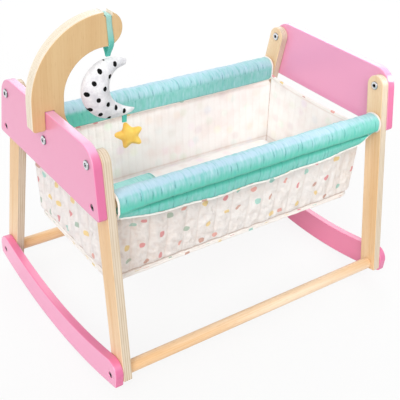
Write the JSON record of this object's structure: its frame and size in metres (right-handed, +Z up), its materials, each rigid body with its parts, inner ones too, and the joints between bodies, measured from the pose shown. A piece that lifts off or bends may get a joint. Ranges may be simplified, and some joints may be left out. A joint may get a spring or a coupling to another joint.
{
  "type": "doll cradle",
  "caption": "Rocking doll cradle: cloth basket on padded side rails between painted wooden ends, with a crescent arm holding a stuffed moon and star",
  "frame": {"origin": "On the floor, under the middle of the bounding box", "axes": "+X along the cradle, away from the end with the crescent arm; +Y across it, away from the pictured side; +Z up"},
  "size_m": [0.5202, 0.3594, 0.46],
  "materials": {
    "pink_paint": "smooth satin pink paint on plywood boards",
    "beech": "clear lacquered light hardwood with pale plywood edges",
    "plywood": "clear lacquered plywood, fine straight grain, pale layered edge",
    "chrome": "polished",
    "dark_steel": "zinc plated, dark in its recess",
    "turquoise_cloth": "light blue to turquoise cotton, stitched and slightly gathered",
    "confetti_cloth": "quilted cream cotton with small coloured spots outside",
    "white_cloth": "plain white cotton",
    "board": "plain fibreboard",
    "ribbon": "woven teal ribbon",
    "spotted_cloth": "white cotton with round black spots",
    "yellow_cloth": "soft yellow cotton"
  },
  "bodies": {
    "cradle": {"left_panel": "pink_paint", "left_rocker": "pink_paint", "left_near_post": "beech", "left_near_cap_bolt": "chrome", "left_near_cap_nut": "chrome", "left_near_rail_screw": "dark_steel", "left_near_rail_insert": "dark_steel", "left_near_rocker_screw": "dark_steel", "left_near_rocker_insert": "dark_steel", "left_far_post": "beech", "left_far_cap_bolt": "chrome", "left_far_cap_nut": "chrome", "left_far_rail_screw": "dark_steel", "left_far_rail_insert": "dark_steel", "left_far_rocker_screw": "dark_steel", "left_far_rocker_insert": "dark_steel", "right_panel": "pink_paint", "right_rocker": "pink_paint", "right_near_post": "beech", "right_near_cap_bolt": "chrome", "right_near_cap_nut": "chrome", "right_near_rail_screw": "dark_steel", "right_near_rail_insert": "dark_steel", "right_near_rocker_screw": "dark_steel", "right_near_rocker_insert": "dark_steel", "right_far_post": "beech", "right_far_cap_bolt": "chrome", "right_far_cap_nut": "chrome", "right_far_rail_screw": "dark_steel", "right_far_rail_insert": "dark_steel", "right_far_rocker_screw": "dark_steel", "right_far_rocker_insert": "dark_steel", "near_stretcher": "beech", "near_rail": "beech", "far_stretcher": "beech", "far_rail": "beech", "moon_arm": "plywood", "arm_bolt": "chrome", "arm_barrel_nut": "dark_steel", "near_sleeve": "turquoise_cloth", "near_wall": "confetti_cloth", "far_sleeve": "turquoise_cloth", "far_wall": "confetti_cloth", "left_wall": "confetti_cloth", "right_wall": "confetti_cloth", "basket_floor": "confetti_cloth", "base_board": "board", "mattress": "white_cloth"},
    "pillow": {"pillow": "turquoise_cloth"},
    "strap": {"hanging_strap": "ribbon"},
    "moon": {"moon_toy": "spotted_cloth"},
    "star": {"star_tab": "ribbon", "star_toy": "yellow_cloth"}
  },
  "joints": [
    {"name": "pillow_lift", "type": "slide", "parent": "cradle", "child": "pillow", "axis": [0.62, 0, 0.7846], "range_m": [0, 0.36]},
    {"name": "strap_rock", "type": "hinge", "parent": "cradle", "child": "strap", "pos_m": [-0.1531, 0, 0.4553], "axis": [0, 1, 0], "range_deg": [-4, 4]},
    {"name": "moon_swing", "type": "hinge", "parent": "strap", "child": "moon", "pos_m": [-0.1531, 0, 0.3996], "axis": [1, 0, 0], "range_deg": [-40, 40]},
    {"name": "star_swing", "type": "hinge", "parent": "moon", "child": "star", "pos_m": [-0.1246, 0, 0.3119], "axis": [1, 0, 0], "range_deg": [-45, 45]}
  ]
}
